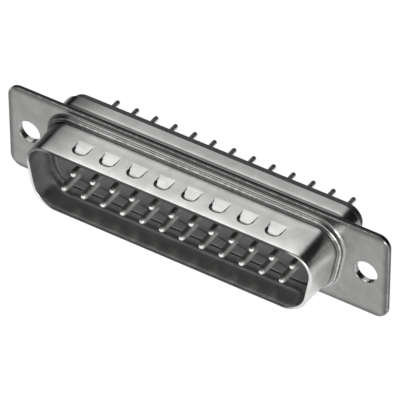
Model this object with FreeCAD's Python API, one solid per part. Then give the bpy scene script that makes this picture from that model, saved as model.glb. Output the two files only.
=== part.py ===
import FreeCAD, Part
import math
import os

# A 25 way male D-sub connector with straight tails. Millimetres.
# X runs along the flange, the mating side faces -Y and the wide side of the D is up (+Z).
# The origin is on the flange's front face, midway between the two screw holes.

# Sheet of both metal shells, and how far the sides of the D lean
sheet = 0.4
side_slope = 10.0

# Flange
flange_length = 53.04
flange_height = 12.45
flange_corner_radius = 1.65
front_edge_radius = 0.3
back_edge_flat = 0.06
back_edge_radius = sheet - back_edge_flat

# Screw holes; the front sheet is rolled through them and holds the rear sheet like a rivet
hole_edge_distance = 3.0
hole_spacing = flange_length - 2 * hole_edge_distance
hole_diameter = 3.05
hole_rim_radius = 0.12
rivet_wall = 0.35
rivet_flare = 0.2
rivet_clearance = 0.03

# Nose of the front shell, outside sizes at its lip; the width is taken at half height
# The flare is how far each wall has moved out where it reaches the flange's front face
nose_to_hole = 3.97
flange_border = 1.675
nose_width = hole_spacing - 2 * nose_to_hole
nose_height = flange_height - 2 * flange_border
nose_top_radius = 2.8
nose_bottom_radius = 3.5
nose_reach = 6.07
nose_flare = 0.22
lip_outer_radius = 0.2
lip_inner_radius = 0.12
nose_root_radius = 0.15

# Raised collar round the root of the nose
collar_step = 0.71
collar_rise = 0.7
collar_edge_radius = 0.2
collar_wall_flat = 0.05
collar_root_radius = collar_rise - collar_edge_radius - collar_wall_flat

# Pressed dimples in the top wall of the nose
dimple_pitch = 3.82
dimple_end_margin = 5.9
dimple_count = 1 + int((nose_width - 2 * dimple_end_margin) / dimple_pitch)
dimple_width = 2.3
dimple_length = 2.3
dimple_from_lip = 1.22
dimple_tip_radius = 0.95
dimple_least_radius = 0.1
dimple_depth = 0.3
dimple_wall_run = 0.55
dimple_floor_slope = 11.0

# The S shape of a dimple's wall, as shares of its run and of its depth
dimple_wall_shape = ((0.0, 0.0), (0.25, 0.16), (0.75, 0.84), (1.0, 1.0))

# Skirt of the rear shell
skirt_step = 0.72
skirt_radius = 2.6
skirt_reach = 3.66
skirt_root_radius = 0.42
skirt_end_radius = 0.08

# Insulators, which meet on the plane of the flange's front face
face_depth = 3.97
insulator_face = nose_reach - face_depth
insulator_proud = 1.17
insulator_back = skirt_reach + insulator_proud
insulator_nose_clearance = 0.1
plateau_inset = 0.8
plateau_height = 0.7
insulator_pocket_clearance = 0.05
insulator_edge_radius = 0.2

# Contacts
contact_pitch = 2.76
row_spacing = 2.84
row_end_margin = 2.8
top_row_count = 1 + int((nose_width - 2 * row_end_margin) / contact_pitch)
bottom_row_count = top_row_count - 1
contacts_without_pin = (1,)
pin_diameter = 1.0
pin_recess = 0.85
pin_reach = nose_reach - pin_recess
pin_taper = 1.0
pin_point_diameter = 0.3
pin_swell = 0.66
barrel_diameter = 1.7
barrel_cover = 0.15
barrel_back = 1.6
body_diameter = 1.32
body_setback = 0.05
tail_diameter = 0.62
tail_reach = 9.08
tail_bevel = 0.16
bore_clearance = 0.05

# Shallow grooves that run from the lower right of each bottom row pin toward the next one
groove_width = 0.16
groove_depth = 0.15
groove_start_x = 0.42
groove_start_drop = 0.38
groove_length = 1.3
groove_fall = 12.0

SMALL = 0.001


class Outline:
    """A D outline: a rounded trapezium that is wider at the top."""

    def __init__(self, width, height, top_radius, bottom_radius):
        self.width = width
        self.height = height
        self.top_radius = top_radius
        self.bottom_radius = bottom_radius

    def grown(self, distance, radius=None):
        """The outline at the given distance outside this one, with its own corners if a radius is given."""
        return Outline(
            self.width + 2 * distance / math.cos(math.radians(side_slope)),
            self.height + 2 * distance,
            radius or self.top_radius + distance,
            radius or self.bottom_radius + distance,
        )

    def corner(self, y, above):
        """Start, middle and end of the right hand corner's arc at the top or the bottom."""
        slope = math.radians(side_slope)
        radius = self.top_radius if above else self.bottom_radius
        centre_z = (1 if above else -1) * (self.height / 2 - radius)
        centre_x = self.width / 2 + centre_z * math.tan(slope) - radius / math.cos(slope)
        flat = math.pi / 2 if above else -math.pi / 2
        points = []
        for angle in (flat, (flat - slope) / 2, -slope):
            x = centre_x + radius * math.cos(angle)
            z = centre_z + radius * math.sin(angle)
            points.append(FreeCAD.Vector(x, y, z))
        return points if above else points[::-1]

    def wire(self, y):
        """The closed outline in the plane at the given Y."""
        right = self.corner(y, True) + self.corner(y, False)
        left = [FreeCAD.Vector(-p.x, p.y, p.z) for p in right[::-1]]
        points = right + left
        edges = []
        for start in range(0, len(points), 3):
            following = points[(start + 3) % len(points)]
            edges.append(Part.Arc(*points[start:start + 3]).toShape())
            edges.append(Part.LineSegment(points[start + 2], following).toShape())
        return Part.Wire(edges)

    def block(self, y_front, y_back):
        """A solid D between two planes."""
        return Part.Face(self.wire(y_front)).extrude(FreeCAD.Vector(0, y_back - y_front, 0))

    def boxes(self, x, z):
        """Whether a point lies in the upright box round the outline."""
        lean = self.height / 2 * math.tan(math.radians(side_slope))
        return abs(x) < self.width / 2 + lean and abs(z) < self.height / 2


nose = Outline(nose_width, nose_height, nose_top_radius, nose_bottom_radius)
collar = nose.grown(collar_step)
skirt = nose.grown(skirt_step, skirt_radius)
flange_back = 2 * sheet
split_plane = 0.0
collar_floor = sheet - collar_rise


def edges_in_plane(shape, y, inside=None):
    """Edges that lie in the plane at the given Y, within an outline if one is given."""
    found = []
    for edge in shape.Edges:
        box = edge.BoundBox
        if abs(box.YMin - y) > SMALL or abs(box.YMax - y) > SMALL:
            continue
        if inside is None or inside.boxes(edge.CenterOfMass.x, edge.CenterOfMass.z):
            found.append(edge)
    return found


def nose_outline(y, inset):
    """The nose's outline at the given Y, drawn in by the inset; it widens toward the flange."""
    return nose.grown(nose_flare * (1 + y / nose_reach) - inset)


def nose_block(y_front, y_back, inset=0.0):
    """A solid stretch of the flared nose."""
    ends = [nose_outline(y, inset).wire(y) for y in (y_front, y_back)]
    return Part.makeLoft(ends, True, True)


def along_y(radius, y_front, y_back, x, z, end_radius=None):
    """A round bar or cone along Y."""
    base = FreeCAD.Vector(x, y_front, z)
    direction = FreeCAD.Vector(0, 1, 0)
    if end_radius is None:
        return Part.makeCylinder(radius, y_back - y_front, base, direction)
    return Part.makeCone(radius, end_radius, y_back - y_front, base, direction)


def flange_plate(y_front, y_back):
    """The flange's plate with rounded corners, without its holes."""
    box = Part.makeBox(
        flange_length, y_back - y_front, flange_height,
        FreeCAD.Vector(-flange_length / 2, y_front, -flange_height / 2),
    )
    corners = [e for e in box.Edges if abs(e.BoundBox.YLength - (y_back - y_front)) < SMALL]
    return box.makeFillet(flange_corner_radius, corners)


def hole_places():
    """X of the two screw holes."""
    return (-hole_spacing / 2, hole_spacing / 2)


def dimple_outline(inset, z):
    """A dimple's outline seen from above, rounded toward the lip, drawn in by the inset."""
    half = dimple_width / 2 - inset
    radius = max(dimple_tip_radius - inset, dimple_least_radius)
    front = dimple_from_lip - nose_reach + inset
    back = dimple_from_lip - nose_reach + dimple_length
    turn = radius * (1 - math.sqrt(0.5))
    corners = [
        FreeCAD.Vector(-half, back, z),
        FreeCAD.Vector(-half, front + radius, z),
        FreeCAD.Vector(-half + turn, front + turn, z),
        FreeCAD.Vector(-half + radius, front, z),
        FreeCAD.Vector(half - radius, front, z),
        FreeCAD.Vector(half - turn, front + turn, z),
        FreeCAD.Vector(half, front + radius, z),
        FreeCAD.Vector(half, back, z),
    ]
    return Part.Wire([
        Part.LineSegment(corners[0], corners[1]).toShape(),
        Part.Arc(corners[1], corners[2], corners[3]).toShape(),
        Part.LineSegment(corners[3], corners[4]).toShape(),
        Part.Arc(corners[4], corners[5], corners[6]).toShape(),
        Part.LineSegment(corners[6], corners[7]).toShape(),
        Part.LineSegment(corners[7], corners[0]).toShape(),
    ])


def dimple_tool(offset, cover):
    """The pressed form of one dimple, below Z 0, pushed outwards by the offset."""
    wires = []
    for run, depth in dimple_wall_shape:
        wires.append(dimple_outline(run * dimple_wall_run - offset, -depth * (dimple_depth + offset)))
    form = Part.makeLoft(wires, True, False)
    ramp_back = dimple_from_lip - nose_reach + dimple_length
    ramp_run = dimple_depth / math.tan(math.radians(dimple_floor_slope))
    front = -nose_reach - sheet
    lowest = -dimple_depth - offset
    half = dimple_width
    side = [
        FreeCAD.Vector(-half, front, cover),
        FreeCAD.Vector(-half, front, lowest),
        FreeCAD.Vector(-half, ramp_back - ramp_run, lowest),
        FreeCAD.Vector(-half, ramp_back, -offset),
        FreeCAD.Vector(-half, ramp_back, cover),
    ]
    ramp = Part.Face(Part.makePolygon(side + side[:1])).extrude(FreeCAD.Vector(2 * half, 0, 0))
    return form.common(ramp)


def with_dimples(shell):
    """The front shell with its row of dimples pressed into the top wall."""
    bumps, pockets = [], []
    lean = math.degrees(math.atan(nose_flare / nose_reach))
    for number in range(dimple_count):
        x = (number - (dimple_count - 1) / 2) * dimple_pitch
        for tools, offset, cover in ((bumps, sheet, -sheet / 4), (pockets, 0, sheet)):
            tool = dimple_tool(offset, cover)
            tool.rotate(FreeCAD.Vector(0, -nose_reach, 0), FreeCAD.Vector(1, 0, 0), lean)
            tools.append(tool.translated(FreeCAD.Vector(x, 0, nose_height / 2)))
    return shell.fuse(bumps).cut(Part.makeCompound(pockets))


def rivet(x, grown, y_front):
    """The rolled wall of a screw hole as a solid bar, spread at its rear end."""
    radius = hole_diameter / 2 + rivet_wall + grown
    bar = along_y(radius, y_front, flange_back, x, 0)
    flare = along_y(radius, flange_back - rivet_flare, flange_back, x, 0, radius + rivet_flare)
    return bar.fuse(flare)


def with_screw_hole(shell, x):
    """The front shell with one rolled screw hole."""
    shell = shell.fuse(rivet(x, 0, sheet / 2))
    shell = shell.cut(along_y(hole_diameter / 2, -sheet, flange_back + sheet, x, 0))
    rim = []
    for edge in edges_in_plane(shell, 0):
        if abs(edge.CenterOfMass.x - x) < SMALL and abs(edge.CenterOfMass.z) < SMALL:
            rim.append(edge)
    return shell.makeFillet(hole_rim_radius, rim)


def with_lip(shell):
    """The front shell with the edges of its lip rounded."""
    middle = nose.grown(-sheet / 2)
    inner = edges_in_plane(shell, -nose_reach, middle)
    outer = [e for e in edges_in_plane(shell, -nose_reach) if not any(e.isSame(i) for i in inner)]
    shell = shell.makeFillet(lip_outer_radius, outer)
    return shell.makeFillet(lip_inner_radius, edges_in_plane(shell, -nose_reach, middle))


def make_front_shell():
    """Flange, raised collar and nose, drawn from one sheet."""
    plate = flange_plate(0, sheet)
    plate = plate.makeFillet(front_edge_radius, edges_in_plane(plate, 0))
    step = collar.block(-collar_rise, sheet)
    step = step.makeFillet(collar_edge_radius, edges_in_plane(step, -collar_rise))
    shell = plate.fuse([step, nose_block(-nose_reach, sheet)])
    nose_root = edges_in_plane(shell, -collar_rise, nose_outline(-collar_rise, -sheet / 4))
    shell = shell.makeFillet(nose_root_radius, nose_root)
    collar_root = edges_in_plane(shell, 0, collar.grown(sheet / 4))
    shell = shell.makeFillet(collar_root_radius, collar_root)
    hollow = collar.grown(-sheet).block(collar_floor, flange_back)
    hollow = hollow.fuse(nose_block(-nose_reach - sheet, sheet, sheet))
    shell = with_dimples(with_lip(shell.cut(hollow)))
    for x in hole_places():
        shell = with_screw_hole(shell, x)
    return shell.removeSplitter()


def make_rear_shell():
    """Rear flange sheet with its drawn skirt."""
    plate = flange_plate(sheet, flange_back)
    plate = plate.makeFillet(back_edge_radius, edges_in_plane(plate, flange_back))
    shell = plate.fuse(skirt.block(sheet, skirt_reach))
    skirt_root = edges_in_plane(shell, flange_back, skirt.grown(sheet / 4))
    shell = shell.makeFillet(skirt_root_radius, skirt_root)
    shell = shell.cut(skirt.grown(-sheet).block(0, skirt_reach + sheet))
    shell = shell.makeFillet(skirt_end_radius, edges_in_plane(shell, skirt_reach))
    for x in hole_places():
        shell = shell.cut(rivet(x, rivet_clearance, 0))
    return shell.removeSplitter()


def contact_places():
    """Number, X and Z of every contact, counted from the left of the top row."""
    places = []
    for count, z in ((top_row_count, row_spacing / 2), (bottom_row_count, -row_spacing / 2)):
        for column in range(count):
            x = (column - (count - 1) / 2) * contact_pitch
            places.append((len(places) + 1, x, z))
    return places


def bores(diameter, y_front, y_back):
    """The tools that cut one stretch of every contact's bore, with its clearance."""
    radius = diameter / 2 + bore_clearance
    return [along_y(radius, y_front, y_back, x, z) for _number, x, z in contact_places()]


def grooves():
    """The tools for the grooves in the mating face; the last pin of the row has only a short one."""
    tools = []
    half = groove_width / 2
    bottom_row = contact_places()[top_row_count:]
    for _number, x, z in bottom_row:
        groove = along_y(half, 0, groove_depth + half, 0, 0)
        if x < bottom_row[-1][1]:
            channel = Part.makeBox(
                groove_length, groove_depth + half, groove_width, FreeCAD.Vector(0, 0, -half)
            )
            groove = groove.fuse([channel, along_y(half, 0, groove_depth + half, groove_length, 0)])
        groove.rotate(FreeCAD.Vector(), FreeCAD.Vector(0, 1, 0), groove_fall)
        start = FreeCAD.Vector(x + groove_start_x, -insulator_face - half, z - groove_start_drop)
        tools.append(groove.translated(start))
    return tools


def make_front_insulator():
    """The moulding in the root of the nose: a ledge in the collar, a seat and the raised mating face."""
    seat = nose_block(plateau_height - insulator_face, split_plane, sheet + insulator_nose_clearance)
    face = nose_block(-insulator_face, split_plane, sheet + insulator_nose_clearance + plateau_inset)
    face = face.makeFillet(insulator_edge_radius, edges_in_plane(face, -insulator_face))
    ledge = collar.grown(-sheet - insulator_pocket_clearance).block(collar_floor, split_plane)
    pin_holes = bores(pin_diameter, -insulator_face - sheet, split_plane)
    pockets = bores(barrel_diameter, barrel_cover - insulator_face, split_plane)
    tools = Part.makeCompound(pin_holes + grooves())
    return face.fuse([seat, ledge]).cut(tools).cut(Part.makeCompound(pockets)).removeSplitter()


def make_rear_insulator():
    """The moulding that fills the skirt and carries the tails."""
    ledge = collar.grown(-sheet - insulator_pocket_clearance).block(split_plane, sheet)
    body = skirt.grown(-sheet - insulator_pocket_clearance).block(sheet, insulator_back)
    body = body.makeFillet(insulator_edge_radius, edges_in_plane(body, insulator_back))
    pockets = bores(barrel_diameter, split_plane, barrel_back)
    tail_holes = bores(body_diameter, split_plane, insulator_back + sheet)
    body = body.fuse(ledge).cut(Part.makeCompound(tail_holes))
    return body.cut(Part.makeCompound(pockets)).removeSplitter()


def profile_point(diameter, y):
    """A point of the contact's half section, on the outside of the given diameter."""
    return FreeCAD.Vector(diameter / 2, y, 0)


def steps(sizes):
    """Straight lines along a half section that is given as pairs of diameter and Y."""
    points = [profile_point(diameter, y) for diameter, y in sizes]
    return [Part.LineSegment(start, end) for start, end in zip(points, points[1:])]


def mating_profile():
    """The half section of the mating pin: its rounded point and its shaft, up to the barrel."""
    barrel_front = barrel_cover - insulator_face
    swollen = pin_point_diameter + (pin_diameter - pin_point_diameter) * pin_swell
    point = Part.Arc(
        profile_point(pin_point_diameter, -pin_reach),
        profile_point(swollen, -pin_reach + pin_taper * (1 - pin_swell)),
        profile_point(pin_diameter, -pin_reach + pin_taper),
    )
    tip = steps([(0, -pin_reach), (pin_point_diameter, -pin_reach)])
    shaft = steps([
        (pin_diameter, -pin_reach + pin_taper), (pin_diameter, barrel_front), (barrel_diameter, barrel_front),
    ])
    return tip + [point] + shaft


def tail_profile():
    """The half section from the barrel to the tail's bevelled end."""
    body_back = insulator_back - body_setback
    return steps([
        (barrel_diameter, barrel_cover - insulator_face),
        (barrel_diameter, barrel_back),
        (body_diameter, barrel_back),
        (body_diameter, body_back),
        (tail_diameter, body_back),
        (tail_diameter, tail_reach - tail_bevel),
        (tail_diameter - 2 * tail_bevel, tail_reach),
        (0, tail_reach),
    ])


def make_contact(x, z, with_pin):
    """One turned contact: mating pin, barrel, body and tail on a common axis."""
    front_end = barrel_cover - insulator_face
    front = steps([(0, front_end), (barrel_diameter, front_end)])
    if with_pin:
        front_end = -pin_reach
        front = mating_profile()
    axis = steps([(0, tail_reach), (0, front_end)])
    outline = [edge.toShape() for edge in front + tail_profile() + axis]
    turned = Part.Face(Part.Wire(outline)).revolve(FreeCAD.Vector(), FreeCAD.Vector(0, 1, 0), 360)
    return turned.translated(FreeCAD.Vector(x, 0, z))


def write(shape, name):
    """Saves one finished piece."""
    shape.exportStep("parts/" + name + ".step")
    print(name, shape.isValid(), len(shape.Solids), round(shape.Volume, 3))


os.makedirs("parts", exist_ok=True)
write(make_front_shell(), "front_shell")
write(make_rear_shell(), "rear_shell")
write(make_front_insulator(), "front_insulator")
write(make_rear_insulator(), "rear_insulator")
for number, x, z in contact_places():
    write(make_contact(x, z, number not in contacts_without_pin), "contact_%02d" % number)
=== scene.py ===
"""Looks of a 25 way male D-sub connector with straight tails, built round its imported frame."""

import logging
import math
from dataclasses import dataclass, field
from enum import Enum

import bmesh
import bpy
from mathutils import Matrix, Vector

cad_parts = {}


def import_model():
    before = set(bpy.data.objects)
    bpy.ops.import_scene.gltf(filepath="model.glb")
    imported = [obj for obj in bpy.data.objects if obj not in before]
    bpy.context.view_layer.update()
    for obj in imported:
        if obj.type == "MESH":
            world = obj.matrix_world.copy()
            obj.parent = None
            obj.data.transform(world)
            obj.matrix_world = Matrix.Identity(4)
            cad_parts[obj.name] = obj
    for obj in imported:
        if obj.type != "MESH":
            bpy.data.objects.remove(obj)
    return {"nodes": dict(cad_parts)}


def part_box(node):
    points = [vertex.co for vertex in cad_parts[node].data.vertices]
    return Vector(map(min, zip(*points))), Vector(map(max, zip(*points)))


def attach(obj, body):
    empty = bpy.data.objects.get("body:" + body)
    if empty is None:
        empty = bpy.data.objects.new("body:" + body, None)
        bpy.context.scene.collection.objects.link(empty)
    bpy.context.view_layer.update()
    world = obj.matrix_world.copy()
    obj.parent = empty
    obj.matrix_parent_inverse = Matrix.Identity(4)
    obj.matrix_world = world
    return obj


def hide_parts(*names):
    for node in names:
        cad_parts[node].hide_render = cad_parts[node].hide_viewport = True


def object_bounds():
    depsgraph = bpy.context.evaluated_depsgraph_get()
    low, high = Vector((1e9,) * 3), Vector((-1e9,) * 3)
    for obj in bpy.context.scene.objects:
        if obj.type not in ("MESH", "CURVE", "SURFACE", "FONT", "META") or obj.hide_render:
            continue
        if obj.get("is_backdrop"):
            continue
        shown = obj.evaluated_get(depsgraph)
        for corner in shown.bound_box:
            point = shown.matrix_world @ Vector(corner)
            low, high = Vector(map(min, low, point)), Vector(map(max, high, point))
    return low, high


LOG = logging.getLogger("connector")
MM = 0.001
BODY = "root"
# Degrees by which facets of one flat face may differ
FLAT_ANGLE = 0.3
# Points closer than this are one point
WELD = 0.0005 * MM
# Normals follow the larger faces as strongly as the modifier allows
FULL_FACE_WEIGHT = 100
# The part of its range that a noise texture mostly fills
NOISE_RANGE = (0.3, 0.7)


class Slot(Enum):
    """The record's material slots."""

    STEEL = "plated_steel"
    PLASTIC = "insulator_plastic"
    CONTACT = "contact_metal"


class Graph:
    """A node tree with short calls for adding and linking nodes."""

    def __init__(self, tree: bpy.types.NodeTree) -> None:
        """Wraps a tree and empties it."""
        self.tree = tree
        tree.nodes.clear()

    def add(self, kind: str, inputs: dict | None = None, **settings: object) -> bpy.types.Node:
        """Adds a node, sets its properties, and links or sets its inputs.

        Args:
            kind: The node's type name.
            inputs: Input names or numbers, each with a value or the socket that feeds it.
            **settings: Properties of the node.

        Returns:
            The new node.
        """
        node = self.tree.nodes.new(kind)
        for name, value in settings.items():
            setattr(node, name, value)
        for name, value in (inputs or {}).items():
            if isinstance(value, bpy.types.NodeSocket):
                self.tree.links.new(value, node.inputs[name])
            else:
                node.inputs[name].default_value = value
        return node

    def math(self, operation: str, *values: object) -> bpy.types.NodeSocket:
        """Adds a Math node with numbers or sockets for its inputs, and gives its result."""
        return self.add("ShaderNodeMath", dict(enumerate(values)), operation=operation).outputs[0]

    def smooth(
        self, value: object, low: object, high: object, to_low: object = 0.0, to_high: object = 1.0
    ) -> bpy.types.NodeSocket:
        """Maps a value smoothly from one range to another.

        Args:
            value: The socket or number to map.
            low: Start of the range that is read.
            high: End of the range that is read.
            to_low: Result at the start.
            to_high: Result at the end.

        Returns:
            The result's socket.
        """
        names = ("Value", "From Min", "From Max", "To Min", "To Max")
        inputs = dict(zip(names, (value, low, high, to_low, to_high)))
        return self.add("ShaderNodeMapRange", inputs, interpolation_type="SMOOTHSTEP").outputs["Result"]

    def mix(self, factor: object, first: object, second: object) -> bpy.types.NodeSocket:
        """Blends two numbers: the first at factor 0, the second at factor 1."""
        inputs = {"Factor": factor, "A": first, "B": second}
        return self.add("ShaderNodeMix", inputs, data_type="FLOAT").outputs["Result"]

    def ramp(
        self, value: bpy.types.NodeSocket, stops: tuple[tuple[float, float], ...]
    ) -> bpy.types.NodeSocket:
        """Reads a piecewise linear curve.

        Args:
            value: Where the curve is read.
            stops: Points of the curve as pairs of value and result, in rising order.

        Returns:
            The result's socket.
        """
        low, high = stops[0][0], stops[-1][0]
        reach = {"Value": value, "From Min": low, "From Max": high}
        node = self.add("ShaderNodeValToRGB", {"Fac": self.add("ShaderNodeMapRange", reach).outputs[0]})
        elements = node.color_ramp.elements
        while len(elements) > 1:
            elements.remove(elements[0])
        for number, (at, level) in enumerate(stops):
            position = (at - low) / (high - low)
            element = elements[0] if number == 0 else elements.new(position)
            element.position = position
            element.color = (level, level, level, 1.0)
        return node.outputs["Color"]

    def group(self, tree: bpy.types.NodeTree, inputs: dict) -> bpy.types.Node:
        """Adds a shader group node with its inputs by name."""
        return self.add("ShaderNodeGroup", inputs, node_tree=tree)


def new_group(
    name: str, kind: str, inputs: dict[str, str], outputs: dict[str, str]
) -> tuple[Graph, bpy.types.Node, bpy.types.Node]:
    """Makes an empty node group with its sockets.

    Args:
        name: The group's name.
        kind: "ShaderNodeTree" or "GeometryNodeTree".
        inputs: Input names with the last part of their socket type.
        outputs: Output names with the last part of their socket type.

    Returns:
        The graph, its input node and its output node.
    """
    tree = bpy.data.node_groups.new(name, kind)
    for direction, sockets in (("INPUT", inputs), ("OUTPUT", outputs)):
        for socket, type_name in sockets.items():
            tree.interface.new_socket(socket, in_out=direction, socket_type="NodeSocket" + type_name)
    graph = Graph(tree)
    return graph, graph.add("NodeGroupInput"), graph.add("NodeGroupOutput")


@dataclass(frozen=True)
class Viewpoint:
    """The camera that was fitted to the photograph: angles in degrees, lens and sensor in millimetres."""

    azimuth: float = 32.734
    elevation: float = 41.401
    roll: float = -0.371
    distance: float = 513.05 * MM
    lens: float = 391.56
    sensor: float = 36.0
    shift: tuple[float, float] = (0.01432, 0.00238)
    clip: tuple[float, float] = (0.01, 10.0)

    def place(self) -> bpy.types.Object:
        """Adds the camera.

        Returns:
            The camera's object.
        """
        turn, rise, roll = (math.radians(a) for a in (self.azimuth, self.elevation, self.roll))
        back = Vector((math.sin(turn) * math.cos(rise), -math.cos(turn) * math.cos(rise), math.sin(rise)))
        right = (-back).cross(Vector((0, 0, 1))).normalized()
        up = right.cross(-back)
        rolled_right = math.cos(roll) * right + math.sin(roll) * up
        rolled_up = math.cos(roll) * up - math.sin(roll) * right
        data = bpy.data.cameras.new("camera")
        data.lens = self.lens
        data.sensor_width = self.sensor
        data.shift_x, data.shift_y = self.shift
        data.clip_start, data.clip_end = self.clip
        camera = bpy.data.objects.new("camera", data)
        bpy.context.scene.collection.objects.link(camera)
        pose = Matrix((rolled_right, rolled_up, back)).transposed().to_4x4()
        pose.translation = back * self.distance
        camera.matrix_world = pose
        bpy.context.scene.camera = camera
        return camera


@dataclass(frozen=True)
class SoftLight:
    """A round soft light far away in one direction, full within its inner angle and gone past its outer."""

    towards: tuple[float, float, float]
    inner: float
    outer: float
    level: float


@dataclass(frozen=True)
class Studio:
    """A white ground in a room that is lighter in front and has soft lights."""

    lights: tuple[SoftLight, ...] = (
        SoftLight((-0.33, 0.50, 0.80), 19.0, 35.0, 1.25),
        SoftLight((-0.40, 0.34, 0.85), 6.0, 15.0, 0.9),
        SoftLight((-0.42, -0.66, 0.62), 5.0, 14.0, 1.3),
        SoftLight((0.50, -0.82, 0.14), 6.0, 14.0, 9.0),
    )
    back_level: float = 0.025
    front_level: float = 0.34
    front_low_level: float = 0.55
    front_turn: tuple[float, float] = (0.25, -0.45)
    low_turn: tuple[float, float] = (0.55, 0.15)
    glow_near: float = 0.8
    glow_far: float = 0.7
    ground_reach: tuple[float, float] = (0.02, 0.08)
    ground_diffuse: float = 0.45
    ground_camera: float = 0.97
    ground_shadow: float = 0.12
    ground_size: float = 3.0

    def light_group(self) -> bpy.types.NodeTree:
        """Builds the shader group of one soft light.

        Returns:
            The group, which gives a light's level in a direction.
        """
        inputs = {
            "Direction": "Vector", "Towards": "Vector", "Inner": "Float", "Outer": "Float", "Level": "Float",
        }
        graph, given, result = new_group("soft_light", "ShaderNodeTree", inputs, {"Level": "Float"})
        facing = graph.add(
            "ShaderNodeVectorMath",
            {0: given.outputs["Direction"], 1: given.outputs["Towards"]},
            operation="DOT_PRODUCT",
        ).outputs["Value"]
        level = graph.smooth(
            facing, given.outputs["Outer"], given.outputs["Inner"], 0.0, given.outputs["Level"]
        )
        graph.tree.links.new(level, result.inputs["Level"])
        return graph.tree

    def light_world(self) -> None:
        """Builds the world: the room and its lights to every ray but the camera's, which sees white."""
        world = bpy.data.worlds.new("studio")
        world.use_nodes = True
        bpy.context.scene.world = world
        graph = Graph(world.node_tree)
        direction = graph.add("ShaderNodeTexCoord").outputs["Generated"]
        parts = graph.add("ShaderNodeSeparateXYZ", {0: direction}).outputs
        front = graph.smooth(parts["Y"], *self.front_turn)
        low = graph.smooth(parts["Z"], *self.low_turn)
        front_level = graph.mix(low, self.front_level, self.front_low_level)
        level = graph.mix(front, self.back_level, front_level)
        soft_light = self.light_group()
        for light in self.lights:
            group = graph.group(soft_light, {
                "Direction": direction,
                "Towards": tuple(Vector(light.towards).normalized()),
                "Inner": math.cos(math.radians(light.inner)),
                "Outer": math.cos(math.radians(light.outer)),
                "Level": light.level,
            })
            level = graph.math("ADD", level, group.outputs["Level"])
        path = graph.add("ShaderNodeLightPath")
        seen = graph.math("MAXIMUM", path.outputs["Is Camera Ray"], path.outputs["Is Transmission Ray"])
        background = graph.add("ShaderNodeBackground", {"Strength": graph.mix(seen, level, 1.0)})
        graph.add("ShaderNodeOutputWorld", {"Surface": background.outputs[0]})

    def lay_ground(self, height: float) -> bpy.types.Object:
        """Adds the white ground, which shows a faint shadow and, to reflections, a painted glow that is
        stronger close to the object.

        Args:
            height: The ground's Z.

        Returns:
            The ground's object.
        """
        half = self.ground_size / 2
        mesh = bpy.data.meshes.new("ground")
        corners = [(x, y, height) for x, y in ((-half, -half), (half, -half), (half, half), (-half, half))]
        mesh.from_pydata(corners, [], [(0, 1, 2, 3)])
        ground = bpy.data.objects.new("ground", mesh)
        bpy.context.scene.collection.objects.link(ground)
        material = bpy.data.materials.new("ground")
        material.use_nodes = True
        graph = Graph(material.node_tree)
        place = graph.add("ShaderNodeTexCoord").outputs["Object"]
        away = graph.add("ShaderNodeVectorMath", {0: place}, operation="LENGTH").outputs["Value"]
        # A painted glow that only reflections see, stronger close to the object
        painted_glow = graph.smooth(away, *self.ground_reach, self.glow_near, self.glow_far)
        path = graph.add("ShaderNodeLightPath")
        other = graph.mix(path.outputs["Is Glossy Ray"], self.ground_diffuse, painted_glow)
        level = graph.mix(path.outputs["Is Camera Ray"], other, self.ground_camera)
        glow = graph.add("ShaderNodeEmission", {"Strength": level})
        matte = graph.add("ShaderNodeBsdfDiffuse", {"Color": (self.ground_shadow,) * 3 + (1.0,)})
        both = graph.add("ShaderNodeAddShader", {0: glow.outputs[0], 1: matte.outputs[0]})
        graph.add("ShaderNodeOutputMaterial", {"Surface": both.outputs[0]})
        mesh.materials.append(material)
        ground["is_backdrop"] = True
        return ground


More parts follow.
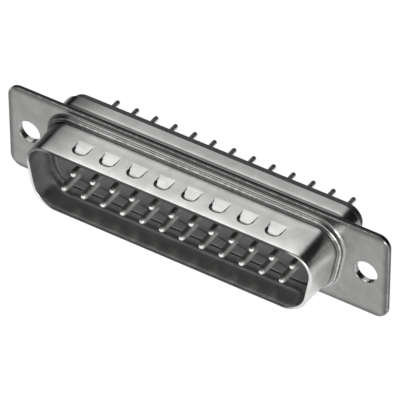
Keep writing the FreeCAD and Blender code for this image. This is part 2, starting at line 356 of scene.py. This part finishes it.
class Effects:
    """Shader groups that the finishes share."""

    CLOUD_SCALE = 18.0
    CLOUD_DETAIL = 3.0
    GRAIN_DETAIL = 4.0
    SPECK_CORE = 0.6
    SPECK_CHANCE = 0.7

    def __init__(self) -> None:
        """Builds the groups."""
        self.grain = self.grain_group()
        self.specks = self.speck_group()
        self.band = self.band_group()

    def grain_group(self) -> bpy.types.NodeTree:
        """Builds a group of slow clouds and fine grain.

        Returns:
            The group.
        """
        inputs = {"Place": "Vector", "Stretch": "Vector", "Size": "Float"}
        graph, given, result = new_group(
            "grain", "ShaderNodeTree", inputs, {"Cloud": "Float", "Grain": "Float"}
        )
        stretched = graph.add(
            "ShaderNodeMapping", {"Vector": given.outputs["Place"], "Scale": given.outputs["Stretch"]}
        ).outputs[0]
        scale = graph.math("DIVIDE", 1.0, given.outputs["Size"])
        for name, vector, divisor, detail in (
            ("Cloud", given.outputs["Place"], self.CLOUD_SCALE, self.CLOUD_DETAIL),
            ("Grain", stretched, 1.0, self.GRAIN_DETAIL),
        ):
            noise = graph.add(
                "ShaderNodeTexNoise",
                {"Vector": vector, "Scale": graph.math("DIVIDE", scale, divisor), "Detail": detail},
            )
            graph.tree.links.new(noise.outputs["Fac"], result.inputs[name])
        return graph.tree

    def speck_group(self) -> bpy.types.NodeTree:
        """Builds a group of sparse small round marks.

        Returns:
            The group.
        """
        inputs = {"Place": "Vector", "Spacing": "Float", "Radius": "Float"}
        graph, given, result = new_group("specks", "ShaderNodeTree", inputs, {"Speck": "Float"})
        cells = graph.add(
            "ShaderNodeTexVoronoi",
            {"Vector": given.outputs["Place"], "Scale": graph.math("DIVIDE", 1.0, given.outputs["Spacing"])},
        )
        size = graph.math("DIVIDE", given.outputs["Radius"], given.outputs["Spacing"])
        core = graph.math("MULTIPLY", size, self.SPECK_CORE)
        inside = graph.smooth(cells.outputs["Distance"], size, core)
        chance = graph.add("ShaderNodeSeparateXYZ", {0: cells.outputs["Color"]}).outputs["X"]
        kept = graph.math("GREATER_THAN", chance, self.SPECK_CHANCE)
        graph.tree.links.new(graph.math("MULTIPLY", inside, kept), result.inputs["Speck"])
        return graph.tree

    @staticmethod
    def band_group() -> bpy.types.NodeTree:
        """Builds a group that is 1 inside a soft band of a value and 0 outside.

        Returns:
            The group.
        """
        inputs = {"Value": "Float", "Middle": "Float", "Half": "Float", "Soft": "Float"}
        graph, given, result = new_group("band", "ShaderNodeTree", inputs, {"Band": "Float"})
        off = graph.math(
            "ABSOLUTE", graph.math("SUBTRACT", given.outputs["Value"], given.outputs["Middle"])
        )
        edge = graph.math("ADD", given.outputs["Half"], given.outputs["Soft"])
        inside = graph.smooth(off, edge, given.outputs["Half"])
        graph.tree.links.new(inside, result.inputs["Band"])
        return graph.tree


@dataclass(frozen=True)
class Ease:
    """A smooth change of level between two places in millimetres."""

    start: float
    end: float
    before: float = 0.0
    after: float = 1.0

    def read(self, graph: Graph, place: bpy.types.NodeSocket) -> bpy.types.NodeSocket:
        """Reads the level at a place in metres."""
        return graph.smooth(place, self.start * MM, self.end * MM, self.before, self.after)


@dataclass(frozen=True)
class Band:
    """A soft band round a place, in millimetres."""

    middle: float
    half: float
    soft: float

    def read(self, graph: Graph, place: bpy.types.NodeSocket, effects: Effects) -> bpy.types.NodeSocket:
        """Reads the band at a place in metres: 1 inside and 0 outside."""
        inputs = {"Value": place, "Middle": self.middle * MM, "Half": self.half * MM, "Soft": self.soft * MM}
        return graph.group(effects.band, inputs).outputs["Band"]


class Spot:
    """A point of a piece, taken apart for a finish that changes with place."""

    def __init__(self, graph: Graph, place: bpy.types.NodeSocket) -> None:
        """Splits the Object coordinates."""
        self.graph = graph
        self.x, self.y, self.z = graph.add("ShaderNodeSeparateXYZ", {0: place}).outputs

    def off(self, axis: str) -> bpy.types.NodeSocket:
        """Gives the distance from the middle along the axis "x" or "z"."""
        return self.graph.math("ABSOLUTE", getattr(self, axis))


@dataclass(frozen=True)
class Finish:
    """A procedural finish with cloudy tone, fine grain, specks and a shallow bump."""

    name: str
    colour: tuple[float, float, float]
    metallic: float
    roughness: float
    tone_change: float
    roughness_change: float
    grain_size: float
    bump: float
    stretch: tuple[float, float, float] = (1.0, 1.0, 1.0)
    speck_spacing: float = 2.6 * MM
    speck_radius: float = 0.1 * MM
    speck_tone: float = 0.6
    bump_depth: float = 0.02 * MM
    along: tuple[tuple[float, float], ...] = ()

    def tone(self, graph: Graph, place: bpy.types.NodeSocket, effects: Effects) -> object:
        """Reads the finish's tone along Y.

        Args:
            graph: The material's graph.
            place: The Object coordinates.
            effects: The shared groups; not used here.

        Returns:
            A number or socket that scales the colour.
        """
        if not self.along:
            return 1.0
        return self.tone_along(graph, Spot(graph, place), self.along)

    @staticmethod
    def tone_along(
        graph: Graph, spot: Spot, stops: tuple[tuple[float, float], ...]
    ) -> bpy.types.NodeSocket:
        """Reads a curve along Y, given as pairs of millimetres and tone."""
        return graph.ramp(spot.y, tuple((at * MM, level) for at, level in stops))

    def dullness(self, graph: Graph, place: bpy.types.NodeSocket) -> object:
        """Gives the roughness that is added to the finish's own, which is none here."""
        return 0.0

    def build(self, effects: Effects) -> bpy.types.Material:
        """Makes the material.

        Args:
            effects: The shared groups.

        Returns:
            The material.
        """
        material = bpy.data.materials.new(self.name)
        material.use_nodes = True
        graph = Graph(material.node_tree)
        place = graph.add("ShaderNodeTexCoord").outputs["Object"]
        grain = graph.group(
            effects.grain, {"Place": place, "Stretch": self.stretch, "Size": self.grain_size}
        ).outputs
        specks = graph.group(
            effects.specks,
            {"Place": place, "Spacing": self.speck_spacing, "Radius": self.speck_radius},
        ).outputs["Speck"]
        cloudy = graph.smooth(
            grain["Cloud"], *NOISE_RANGE, 1 - self.tone_change, 1 + self.tone_change
        )
        speckled = graph.mix(specks, cloudy, self.speck_tone)
        tone = graph.math("MULTIPLY", speckled, self.tone(graph, place, effects))
        colour = graph.add(
            "ShaderNodeVectorMath", {0: self.colour, "Scale": tone}, operation="SCALE"
        ).outputs[0]
        grained = graph.smooth(
            grain["Grain"], *NOISE_RANGE, self.roughness - self.roughness_change,
            self.roughness + self.roughness_change,
        )
        rough = graph.math("ADD", grained, self.dullness(graph, place))
        bump = graph.add("ShaderNodeBump", {
            "Height": grain["Grain"], "Strength": self.bump, "Distance": self.bump_depth,
        }).outputs[0]
        surface = graph.add(
            "ShaderNodeBsdfPrincipled",
            {"Base Color": colour, "Metallic": self.metallic, "Roughness": rough, "Normal": bump},
        )
        graph.add("ShaderNodeOutputMaterial", {"Surface": surface.outputs[0]})
        return material


@dataclass(frozen=True)
class ShellPlating(Finish):
    """Plated sheet with painted highlights and painted shade: darker on the flange, painted shade in its
    creases, dark on its cut edges, a painted highlight behind the lip.

    Curves and places are in millimetres. The curves follow the sheet from the lip, along Y.
    """

    # Painted highlights and painted shade along the top of the nose, along the collar, the flange and the
    # skirt, and along the nose's bottom
    along_nose: tuple[tuple[float, float], ...] = (
        (-6.07, 0.1), (-6.02, 0.2), (-5.95, 1.1), (-5.8, 1.0), (-5.3, 0.8), (-4.5, 0.7), (-2.2, 0.58),
        (-1.4, 0.68), (-0.96, 0.62), (-0.85, 0.25), (-0.75, 0.1), (-0.71, 0.5), (-0.69, 0.5),
    )
    along_sheet: tuple[tuple[float, float], ...] = (
        (-0.69, 0.5), (-0.66, 1.3), (-0.6, 1.1), (-0.54, 0.42), (-0.4, 0.4), (-0.3, 0.55),
        (-0.06, 0.75), (-0.03, 0.45), (0.03, 0.45), (0.07, 1.0), (0.18, 1.0), (0.26, 0.45),
        (0.82, 0.45), (1.5, 0.5), (1.66, 0.2), (1.86, 0.2), (2.02, 0.85), (2.18, 0.68), (2.4, 0.55),
        (3.0, 0.5), (3.7, 0.49),
    )
    along_bottom: tuple[tuple[float, float], ...] = (
        (-6.07, 0.1), (-6.0, 0.2), (-5.92, 1.5), (-5.7, 1.4), (-5.5, 0.65), (-3.4, 0.55), (-2.9, 1.0),
        (-2.2, 1.6), (-1.2, 1.0),
    )
    sheet_front: float = -0.7
    nose_root: Ease = Ease(-1.0, -1.3)

    # A painted highlight line where the collar leaves the flange
    foot_highlight: Band = Band(-0.014, 0.008, 0.004)
    foot_highlight_end: Ease = Ease(18.0, 15.5)
    foot_highlight_tone: float = 1.1

    # Painted highlights and painted shade on the nose's ends and its bottom, with the lip's lower edge, and
    # painted highlights on the nose's corners by the lip
    end_highlight_tone: float = 1.15
    end_below: Ease = Ease(4.2, 2.6)
    end_past_lip: Ease = Ease(-6.05, -5.97)
    bottom_below: Ease = Ease(-3.0, -3.7)
    lip_below: Ease = Ease(-4.38, -4.46)
    lip_behind: Ease = Ease(-5.9, -6.0)
    lip_tone: float = 0.9
    corner_aside: Ease = Ease(16.0, 17.8)
    corner_front: Ease = Ease(-5.85, -5.95)

    # The duller polish of the nose's ends
    dull_aside: Ease = Ease(17.6, 19.0)
    dull_front: Ease = Ease(-0.8, -1.1)
    dull_below: Ease = Ease(4.0, 2.6, 0.0, 0.16)

    # Wear that breaks up the painted highlights along the two edges that stand out, and painted shade on the
    # nose's inner side
    worn_highlight_lines: tuple[Band, ...] = (Band(0.14, 0.08, 0.05), Band(-0.6, 0.08, 0.05))
    wear_size: float = 0.45 * MM
    wear_detail: float = 2.0
    wear: tuple[float, float, float, float] = (0.42, 0.62, 0.78, 1.15)
    inner_turn: tuple[float, float] = (0.15, 0.4)
    inner_shade_tone: float = 0.25

    # Painted shade on the upper part of the drawn form's left end
    left_end_shade: Ease = Ease(-19.8, -12.5, 0.2, 1.0)
    left_above: Ease = Ease(1.0, 3.0)

    # The flange: its rim, and its cut edges behind the front face
    flange_half: tuple[float, float] = (26.52 * MM, 6.225 * MM)
    flange_sheets: Band = Band(0.4, 0.42, 0.02)
    rim: Ease = Ease(0.15, 1.0, 0.5, 1.1)
    cut_behind: Ease = Ease(0.1, 0.28)
    cut_long: Ease = Ease(0.16, 0.45, 0.1, 1.0)
    cut_short: Ease = Ease(0.1, 0.35, 0.5, 1.0)

    def dullness(self, graph: Graph, place: bpy.types.NodeSocket) -> bpy.types.NodeSocket:
        """Dulls the ends of the nose.

        Args:
            graph: The material's graph.
            place: The Object coordinates.

        Returns:
            The added roughness.
        """
        spot = Spot(graph, place)
        at_end = self.dull_aside.read(graph, spot.off("x"))
        on_nose = self.dull_front.read(graph, spot.y)
        below = self.dull_below.read(graph, spot.z)
        return graph.math("MULTIPLY", graph.math("MULTIPLY", at_end, on_nose), below)

    def tone(self, graph: Graph, place: bpy.types.NodeSocket, effects: Effects) -> bpy.types.NodeSocket:
        """Tones the sheet by its place, with painted highlights and painted shade.

        Args:
            graph: The material's graph.
            place: The Object coordinates.
            effects: The shared groups.

        Returns:
            The socket that scales the colour.
        """
        spot = Spot(graph, place)
        on_nose = self.nose_root.read(graph, spot.y)
        top = self.top_tone(graph, spot, effects)
        along = self.end_and_bottom_tone(graph, spot, on_nose, top)
        lit_and_worn = self.worn_highlight_tone(graph, spot, place, effects, along)
        # Painted shade on the nose where its faces turn back, on its inner side
        normal = graph.add("ShaderNodeNewGeometry").outputs["Normal"]
        back_facing = graph.add("ShaderNodeSeparateXYZ", {0: normal}).outputs["Y"]
        inside = graph.math("MULTIPLY", graph.smooth(back_facing, *self.inner_turn), on_nose)
        sheet = graph.mix(inside, lit_and_worn, self.inner_shade_tone)
        # Painted shade on the upper part of the left end of the drawn form
        left = self.left_end_shade.read(graph, spot.x)
        drawn = graph.math("MULTIPLY", sheet, graph.mix(self.left_above.read(graph, spot.z), 1.0, left))
        flange = graph.math("MULTIPLY", sheet, self.flange_tone(graph, spot))
        return graph.mix(self.flange_sheets.read(graph, spot.y, effects), drawn, flange)

    def top_tone(self, graph: Graph, spot: Spot, effects: Effects) -> bpy.types.NodeSocket:
        """Tones the top of the nose, the collar, the flange and the skirt along Y, with painted highlights
        and painted shade.

        Args:
            graph: The material's graph.
            spot: The point.
            effects: The shared groups.

        Returns:
            The tone's socket.
        """
        nose = self.tone_along(graph, spot, self.along_nose)
        sheet = self.tone_along(graph, spot, self.along_sheet)
        # A painted highlight line at the collar's foot
        foot = graph.math(
            "MULTIPLY", self.foot_highlight.read(graph, spot.y, effects),
            self.foot_highlight_end.read(graph, spot.off("x")),
        )
        marked = graph.mix(foot, sheet, self.foot_highlight_tone)
        return graph.mix(graph.math("GREATER_THAN", spot.y, self.sheet_front * MM), nose, marked)

    def end_and_bottom_tone(
        self, graph: Graph, spot: Spot, on_nose: bpy.types.NodeSocket, top: bpy.types.NodeSocket
    ) -> bpy.types.NodeSocket:
        """Gives the nose's ends, its bottom and its corners their own tone, with painted highlights and
        painted shade.

        Args:
            graph: The material's graph.
            spot: The point.
            on_nose: The mask of the nose.
            top: The tone of everything else.

        Returns:
            The tone's socket.
        """
        # Painted highlights and painted shade on the nose's bottom, its ends and its corners
        bottom = self.tone_along(graph, spot, self.along_bottom)
        end = graph.mix(self.end_past_lip.read(graph, spot.y), bottom, self.end_highlight_tone)
        lip = graph.math("MULTIPLY", self.lip_below.read(graph, spot.z), self.lip_behind.read(graph, spot.y))
        bottom_and_lip = graph.mix(lip, bottom, self.lip_tone)
        low = graph.mix(self.bottom_below.read(graph, spot.z), end, bottom_and_lip)
        below = graph.math("MULTIPLY", self.end_below.read(graph, spot.z), on_nose)
        corner = graph.math(
            "MULTIPLY", self.corner_aside.read(graph, spot.off("x")),
            self.corner_front.read(graph, spot.y),
        )
        return graph.mix(corner, graph.mix(below, top, low), self.end_highlight_tone)

    def worn_highlight_tone(
        self, graph: Graph, spot: Spot, place: bpy.types.NodeSocket, effects: Effects,
        along: bpy.types.NodeSocket,
    ) -> bpy.types.NodeSocket:
        """Breaks up the tone with noise along two lines, where the painted highlights lie.

        Args:
            graph: The material's graph.
            spot: The point.
            place: The Object coordinates.
            effects: The shared groups.
            along: The tone without wear.

        Returns:
            The tone's socket.
        """
        noise = graph.add(
            "ShaderNodeTexNoise",
            {"Vector": place, "Scale": 1.0 / self.wear_size, "Detail": self.wear_detail},
        ).outputs["Fac"]
        # Noise breaks up the painted highlights along these lines
        lines = (line.read(graph, spot.y, effects) for line in self.worn_highlight_lines)
        broken = graph.math("MULTIPLY", along, graph.smooth(noise, *self.wear))
        return graph.mix(graph.math("MAXIMUM", *lines), along, broken)

    def flange_tone(self, graph: Graph, spot: Spot) -> bpy.types.NodeSocket:
        """Darkens the flange's rim and the cut edges of its two sheets.

        Args:
            graph: The material's graph.
            spot: The point.

        Returns:
            The socket that scales the tone.
        """
        from_short, from_long = (
            graph.math("SUBTRACT", half, spot.off(axis))
            for half, axis in zip(self.flange_half, ("x", "z"))
        )
        rim = self.rim.read(graph, graph.math("MINIMUM", from_short, from_long))
        edges = graph.math(
            "MULTIPLY", self.cut_long.read(graph, from_long), self.cut_short.read(graph, from_short)
        )
        cut = graph.mix(self.cut_behind.read(graph, spot.y), 1.0, edges)
        return graph.math("MULTIPLY", rim, cut)


@dataclass(frozen=True)
class MouldedFace(Finish):
    """Plastic with a painted highlight along the raised face's edge, which shows only round the outside."""

    edge: tuple[float, float] = (17.2 * MM, 3.1 * MM)
    edge_softness: float = 0.1 * MM

    def tone(self, graph: Graph, place: bpy.types.NodeSocket, effects: Effects) -> bpy.types.NodeSocket:
        """Paints the highlight on the edge of the raised face.

        Args:
            graph: The material's graph.
            place: The Object coordinates.
            effects: The shared groups.

        Returns:
            The socket that scales the colour.
        """
        spot = Spot(graph, place)
        outside = [
            graph.smooth(distance, limit - self.edge_softness, limit)
            for distance, limit in zip((spot.off("x"), spot.off("z")), self.edge)
        ]
        return graph.mix(graph.math("MAXIMUM", *outside), 1.0, super().tone(graph, place, effects))


@dataclass(frozen=True)
class ContactPlating(Finish):
    """Plated contact with a painted highlight on one side, painted shade on the other side and on the upper
    row's pins, and a painted highlight on its tips.
    """

    highlight_side: tuple[float, float, float] = (0.75, 0.0, -0.66)
    highlight_turn: tuple[float, float] = (-0.45, 0.35)
    shaded_side_tone: float = 0.35
    lit_side_tone: float = 1.9
    upper_pin_shade: float = 0.62
    pin_front: Ease = Ease(0.5, -0.5)
    upper_row: Ease = Ease(-0.3, 0.3)
    tip_turn: tuple[float, float] = (-0.7, -0.92)
    tip_highlight: float = 1.2

    def tone(self, graph: Graph, place: bpy.types.NodeSocket, effects: Effects) -> bpy.types.NodeSocket:
        """Paints the highlight and the shade on the contact's sides, the shade on the upper row's pins and
        the highlight on the tips.

        Args:
            graph: The material's graph.
            place: The Object coordinates.
            effects: The shared groups.

        Returns:
            The socket that scales the colour.
        """
        # A painted highlight on one side of each contact and painted shade on the other
        normal = graph.add("ShaderNodeNewGeometry").outputs["Normal"]
        side = graph.add(
            "ShaderNodeVectorMath", {0: normal, 1: self.highlight_side}, operation="DOT_PRODUCT"
        ).outputs["Value"]
        side_lit = graph.smooth(side, *self.highlight_turn, self.shaded_side_tone, self.lit_side_tone)
        spot = Spot(graph, place)
        # Painted shade on the upper row's pins
        upper = graph.math(
            "MULTIPLY", self.pin_front.read(graph, spot.y), self.upper_row.read(graph, spot.z)
        )
        shaded = graph.math("MULTIPLY", side_lit, graph.mix(upper, 1.0, self.upper_pin_shade))
        # A painted highlight on the tips
        front_facing = graph.add("ShaderNodeSeparateXYZ", {0: normal}).outputs["Y"]
        tipped = graph.mix(graph.smooth(front_facing, *self.tip_turn), shaded, self.tip_highlight)
        return graph.math("MULTIPLY", super().tone(graph, place, effects), tipped)


STEEL = ShellPlating(
    name="plated steel", colour=(0.76, 0.76, 0.745), metallic=1.0, roughness=0.22, tone_change=0.08,
    roughness_change=0.04, grain_size=0.12 * MM, bump=0.06, stretch=(0.12, 1.0, 1.0),
)
REAR_PLASTIC = Finish(
    name="rear insulator plastic", colour=(0.05, 0.05, 0.052), metallic=0.0, roughness=0.42,
    tone_change=0.1, roughness_change=0.06, grain_size=0.2 * MM, bump=0.12,
)
# Lighter than the rear insulator's plastic: painted light on the mating face
FACE_PLASTIC = MouldedFace(
    name="front insulator plastic", colour=(0.17, 0.17, 0.172), metallic=0.0, roughness=0.42,
    tone_change=0.1, roughness_change=0.06, grain_size=0.2 * MM, bump=0.12,
    # A painted highlight along the raised face's edge
    along=((-2.1, 1.0), (-2.08, 4.5), (-1.98, 4.5), (-1.92, 1.0)),
)
CONTACT = ContactPlating(
    name="contact metal", colour=(0.8, 0.79, 0.76), metallic=0.6, roughness=0.2, tone_change=0.06,
    roughness_change=0.05, grain_size=0.15 * MM, bump=0.08,
    # A painted highlight on the pin's point, painted shade just behind it, and darker along the tails
    # towards their ends
    along=(
        (-5.22, 1.25), (-5.0, 1.2), (-4.75, 0.6), (-4.3, 0.75), (-3.0, 1.0), (4.7, 0.6), (5.5, 0.55),
        (8.5, 0.4), (8.8, 0.2), (9.08, 0.2),
    ),
)


def add_piece(name: str, mesh: bpy.types.Mesh, material: bpy.types.Material) -> bpy.types.Object:
    """Links a mesh as a piece that rides on the connector's body.

    Args:
        name: The piece's name.
        mesh: Its mesh, in place.
        material: Its material.

    Returns:
        The piece.
    """
    mesh.materials.clear()
    mesh.materials.append(material)
    piece = bpy.data.objects.new(name, mesh)
    bpy.context.scene.collection.objects.link(piece)
    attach(piece, BODY)
    return piece


def evaluated_mesh(helper: bpy.types.Object, name: str) -> bpy.types.Mesh:
    """Converts a helper with its modifiers to a mesh and removes the helper.

    Args:
        helper: The object with modifiers.
        name: The new mesh's name.

    Returns:
        The new mesh.
    """
    bpy.context.view_layer.update()
    result = bpy.data.meshes.new_from_object(helper.evaluated_get(bpy.context.evaluated_depsgraph_get()))
    bpy.data.objects.remove(helper)
    result.name = name
    return result


def mark_sharp(work: bmesh.types.BMesh, sharp: float) -> None:
    """Shades every face smooth and marks the edges that stay sharp.

    Args:
        work: The mesh to mark.
        sharp: Edges turned by more than this many degrees stay sharp.
    """
    for edge in work.edges:
        edge.smooth = len(edge.link_faces) == 2 and edge.calc_face_angle(0) < math.radians(sharp)
    for face in work.faces:
        face.smooth = True


def smoothed_copy(node: bpy.types.Object, name: str, sharp: float) -> bpy.types.Mesh:
    """Copies a node's mesh with its triangles joined and smooth normals, weighted by area.

    Args:
        node: The node's object.
        name: The new mesh's name.
        sharp: Edges turned by more than this many degrees stay sharp.

    Returns:
        The new mesh.
    """
    joined = bmesh.new()
    joined.from_mesh(node.data)
    bmesh.ops.remove_doubles(joined, verts=joined.verts, dist=WELD)
    bmesh.ops.dissolve_limit(
        joined, angle_limit=math.radians(FLAT_ANGLE), verts=joined.verts, edges=joined.edges
    )
    mark_sharp(joined, sharp)
    mesh = bpy.data.meshes.new(name)
    joined.to_mesh(mesh)
    joined.free()
    helper = bpy.data.objects.new(name, mesh)
    bpy.context.scene.collection.objects.link(helper)
    weighted = helper.modifiers.new("weighted", "WEIGHTED_NORMAL")
    weighted.keep_sharp = True
    weighted.weight = FULL_FACE_WEIGHT
    return evaluated_mesh(helper, name)


@dataclass(frozen=True)
class Housing:
    """The shells or the insulators: nodes that keep their shape and get smooth normals and a finish."""

    names: tuple[str, ...]
    slot: Slot
    sharp: float = 40.0

    def build(self, nodes: dict, material: bpy.types.Material) -> list[bpy.types.Object]:
        """Replaces each node by a smooth copy.

        Args:
            nodes: The frame's nodes.
            material: The finish.

        Returns:
            The pieces.
        """
        pieces = []
        for name in self.names:
            mesh = smoothed_copy(nodes[name], name + "_smooth", self.sharp)
            pieces.append(add_piece(name + "_smooth", mesh, material))
            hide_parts(name)
        return pieces


@dataclass(frozen=True)
class Contact:
    """One turned contact on the Y axis: diameters and places in millimetres, the flat as a share."""

    pin: float = 1.0
    pin_front: float = -5.22
    pin_taper: float = 1.0
    point: float = 0.3
    barrel: float = 1.7
    barrel_front: float = -1.95
    barrel_back: float = 1.6
    body: float = 1.32
    body_back: float = 4.78
    tail: float = 0.62
    tail_back: float = 9.08
    tail_round: float = 0.28
    tail_flat: float = 0.3
    turns: int = 40
    round_steps: int = 8
    sharp: float = 35.0

    def quarter(self, small: float, large: float, end: float, length: float) -> list[tuple[float, float]]:
        """Gives a rounded end as pairs of diameter and Y.

        Args:
            small: Diameter at the end.
            large: Diameter of the bar.
            end: Y of the end.
            length: Signed length of the rounded stretch.

        Returns:
            The points from the end to the bar.
        """
        points = []
        for step in range(self.round_steps + 1):
            angle = math.pi / 2 * step / self.round_steps
            points.append((
                small + (large - small) * math.sin(angle), end + length * (1 - math.cos(angle)),
            ))
        return points

    def half_section(self, with_pin: bool) -> list[tuple[float, float]]:
        """Gives the half section as pairs of diameter and Y.

        Args:
            with_pin: Whether the contact has its mating pin.

        Returns:
            The section's points from the front to the back.
        """
        front = [(0.0, self.barrel_front)]
        if with_pin:
            point = self.quarter(self.point, self.pin, self.pin_front, self.pin_taper)
            front = [(0.0, self.pin_front)] + point + [(self.pin, self.barrel_front)]
        tail = self.quarter(self.tail * self.tail_flat, self.tail, self.tail_back, -self.tail_round)
        return front + [
            (self.barrel, self.barrel_front), (self.barrel, self.barrel_back),
            (self.body, self.barrel_back), (self.body, self.body_back),
            (self.tail, self.body_back), *tail[::-1], (0.0, self.tail_back),
        ]

    def turned(self, name: str, with_pin: bool) -> bpy.types.Object:
        """Turns the contact.

        Args:
            name: The object's name.
            with_pin: Whether it has its mating pin.

        Returns:
            The object, which is not linked to the scene.
        """
        work = bmesh.new()
        points = [work.verts.new((d / 2 * MM, y * MM, 0)) for d, y in self.half_section(with_pin)]
        edges = [work.edges.new(pair) for pair in zip(points, points[1:])]
        bmesh.ops.spin(
            work, geom=points + edges, cent=(0, 0, 0), axis=(0, 1, 0), angle=2 * math.pi, steps=self.turns
        )
        bmesh.ops.remove_doubles(work, verts=work.verts, dist=WELD)
        bmesh.ops.recalc_face_normals(work, faces=work.faces)
        mark_sharp(work, self.sharp)
        mesh = bpy.data.meshes.new(name)
        work.to_mesh(mesh)
        work.free()
        return bpy.data.objects.new(name, mesh)


@dataclass(frozen=True)
class ContactRow:
    """A row of contacts, placed on its nodes. The first few can be without their mating pin."""

    name: str
    first: int
    last: int
    without_pin: int = 0
    contact: Contact = field(default_factory=Contact)

    @staticmethod
    def tree() -> bpy.types.NodeTree:
        """Builds the Geometry Nodes that set a row of contacts.

        Returns:
            The tree.
        """
        inputs = {
            "Geometry": "Geometry", "Contact": "Object", "Plain contact": "Object", "Count": "Int",
            "Plain count": "Int", "Start": "Vector", "Pitch": "Vector", "Material": "Material",
        }
        graph, given, result = new_group("contact_row", "GeometryNodeTree", inputs, {"Geometry": "Geometry"})
        line = graph.add("GeometryNodeMeshLine", {
            "Count": given.outputs["Count"], "Start Location": given.outputs["Start"],
            "Offset": given.outputs["Pitch"],
        }, mode="OFFSET").outputs[0]
        place = graph.add("GeometryNodeInputIndex").outputs[0]
        plain = graph.math("LESS_THAN", place, given.outputs["Plain count"])
        joined = graph.add("GeometryNodeJoinGeometry")
        for source, selection in (
            ("Contact", graph.math("SUBTRACT", 1.0, plain)), ("Plain contact", plain)
        ):
            shape = graph.add("GeometryNodeObjectInfo", {"Object": given.outputs[source]})
            instances = graph.add("GeometryNodeInstanceOnPoints", {
                "Points": line, "Selection": selection, "Instance": shape.outputs["Geometry"],
            }).outputs[0]
            graph.tree.links.new(instances, joined.inputs[0])
        real = graph.add("GeometryNodeRealizeInstances", {0: joined.outputs[0]}).outputs[0]
        finished = graph.add(
            "GeometryNodeSetMaterial", {"Geometry": real, "Material": given.outputs["Material"]}
        ).outputs[0]
        graph.tree.links.new(finished, result.inputs["Geometry"])
        return graph.tree

    def build(self, tree: bpy.types.NodeTree, material: bpy.types.Material) -> bpy.types.Object:
        """Replaces the row's nodes by one piece.

        Args:
            tree: The row's Geometry Nodes.
            material: The contacts' finish.

        Returns:
            The piece.
        """
        names = [f"contact_{number:02d}" for number in range(self.first, self.last + 1)]
        centres = [(low + high) / 2 for low, high in (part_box(name) for name in names)]
        start = Vector((centres[0].x, 0, centres[0].z))
        pitch = Vector(((centres[-1].x - centres[0].x) / (len(names) - 1), 0, 0))
        shapes = [
            self.contact.turned(self.name + kind, pin) for kind, pin in (("_pin", True), ("_plain", False))
        ]
        helper = bpy.data.objects.new(self.name, bpy.data.meshes.new(self.name))
        bpy.context.scene.collection.objects.link(helper)
        modifier = helper.modifiers.new("row", "NODES")
        modifier.node_group = tree
        values = {
            "Contact": shapes[0], "Plain contact": shapes[1], "Count": len(names),
            "Plain count": self.without_pin, "Start": start, "Pitch": pitch, "Material": material,
        }
        for item in tree.interface.items_tree:
            if item.item_type == "SOCKET" and item.in_out == "INPUT" and item.name in values:
                modifier[item.identifier] = values[item.name]
        mesh = evaluated_mesh(helper, self.name)
        for shape in shapes:
            bpy.data.objects.remove(shape)
        piece = add_piece(self.name, mesh, material)
        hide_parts(*names)
        return piece


def main() -> None:
    """Builds the scene."""
    logging.basicConfig(level=logging.INFO)
    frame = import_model()
    cad_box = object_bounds()
    Viewpoint().place()
    studio = Studio()
    studio.light_world()
    studio.lay_ground(cad_box[0][2])
    effects = Effects()
    nodes = frame["nodes"]
    shells = Housing(("front_shell", "rear_shell"), Slot.STEEL).build(nodes, STEEL.build(effects))
    face = Housing(("front_insulator",), Slot.PLASTIC).build(nodes, FACE_PLASTIC.build(effects))
    back = Housing(("rear_insulator",), Slot.PLASTIC).build(nodes, REAR_PLASTIC.build(effects))
    metal = CONTACT.build(effects)
    tree = ContactRow.tree()
    top_row = ContactRow("top_row_contacts", 1, 13, without_pin=1).build(tree, metal)
    bottom_row = ContactRow("bottom_row_contacts", 14, 25).build(tree, metal)
    for piece in (*shells, *face, *back, top_row, bottom_row):
        LOG.info("piece %s: %d faces", piece.name, len(piece.data.polygons))
    bpy.context.scene.view_settings.view_transform = "Standard"


if __name__ == "__main__":
    main()
